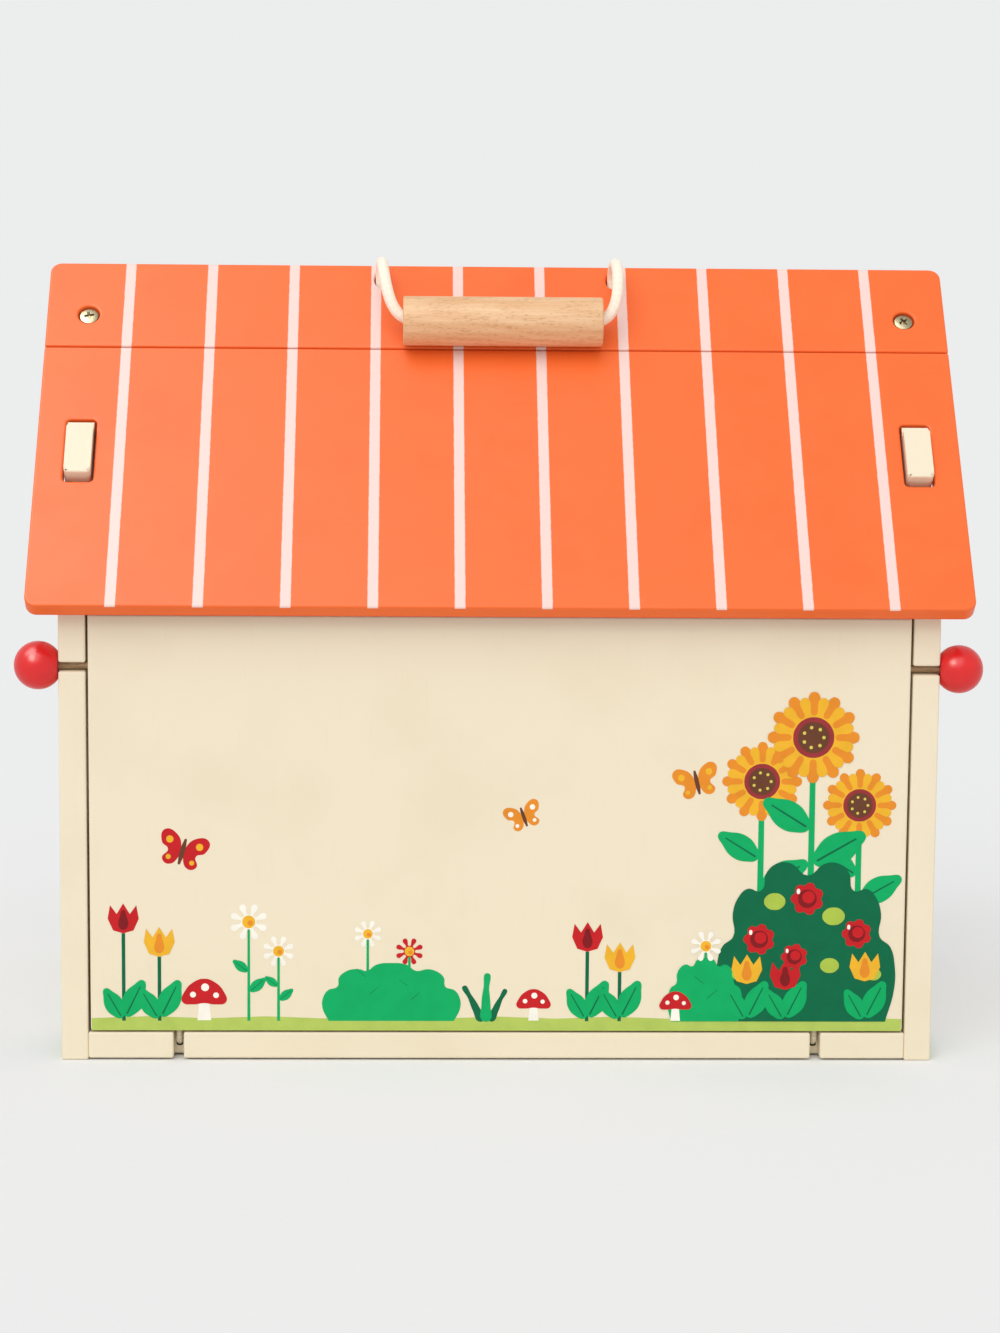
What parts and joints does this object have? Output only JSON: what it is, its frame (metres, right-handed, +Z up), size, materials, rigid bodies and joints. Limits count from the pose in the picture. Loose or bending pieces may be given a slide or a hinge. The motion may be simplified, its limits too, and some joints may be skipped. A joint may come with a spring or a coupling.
{
  "type": "fold-up toy barn",
  "caption": "Wooden fold-up toy barn and carrying case with folding front, lift-off striped roof panel, opening back doors, loft, stall, ladder and rope handle",
  "frame": {"origin": "middle of the bounding box at the foot plane of the two gables, front panel closed", "axes": "+X along the ridge to the right seen from the front, +Y to the back wall, +Z up"},
  "size_m": [0.3242, 0.192, 0.269],
  "materials": {
    "cream_wood": "satin",
    "orange_wood": "satin",
    "raw_wood": "satin",
    "red_wood": "gloss",
    "rod_wood": "satin",
    "cotton_cord": "matte",
    "elastic_cord": "matte",
    "zinc_steel": "satin"
  },
  "bodies": {
    "barn": {"base_board": "cream_wood", "left_gable": "cream_wood", "right_gable": "cream_wood", "back_wall": "cream_wood", "loft_floor": "cream_wood", "rear_roof_panel": "orange_wood", "ridge_strip": "orange_wood", "roof_screws": "zinc_steel", "rear_roof_screws": "zinc_steel", "gable_screws": "zinc_steel", "wall_bolts": "zinc_steel", "barrel_nuts": "zinc_steel", "stall_front_fence": "cream_wood", "stall_side_fence": "cream_wood", "stall_divider": "cream_wood", "cord_knots": "cotton_cord", "door_pins": "zinc_steel", "left_hinge_cord": "elastic_cord", "right_hinge_cord": "elastic_cord"},
    "front_panel": {"front_panel": "cream_wood", "knob_rods": "rod_wood", "left_knob": "red_wood", "right_knob": "red_wood"},
    "roof_panel": {"front_roof_panel": "orange_wood"},
    "handle": {"handle_grip": "raw_wood", "handle_cord": "cotton_cord"},
    "left_door": {"left_door": "cream_wood"},
    "right_door": {"right_door": "cream_wood"},
    "ladder": {"ladder": "raw_wood"}
  },
  "joints": [
    {"name": "front_panel_hinge", "type": "hinge", "parent": "barn", "child": "front_panel", "pos_m": [0, -0.0805, 0.0051], "axis": [1, 0, 0], "range_deg": [0, 88.5], "deforming": ["left_hinge_cord", "right_hinge_cord"]},
    {"name": "roof_panel_tilt", "type": "hinge", "parent": "barn", "child": "roof_panel", "pos_m": [0, -0.02467, 0.23756], "axis": [-1, 0, 0], "range_deg": [0, 60]},
    {"name": "handle_swing", "type": "hinge", "parent": "barn", "child": "handle", "pos_m": [0, -0.00394, 0.26141], "axis": [-1, 0, 0], "range_deg": [0, 175], "deforming": ["handle_cord"]},
    {"name": "left_door_hinge", "type": "hinge", "parent": "barn", "child": "left_door", "pos_m": [-0.0286, 0.082, 0.0725], "axis": [0, 0, 1], "range_deg": [0, 95]},
    {"name": "right_door_hinge", "type": "hinge", "parent": "barn", "child": "right_door", "pos_m": [0.0526, 0.082, 0.0725], "axis": [0, 0, -1], "range_deg": [0, 95]},
    {"name": "ladder_slide", "type": "slide", "parent": "barn", "child": "ladder", "axis": [0.3939, -0.9191, 0], "range_m": [-0.012, 0.012]}
  ]
}
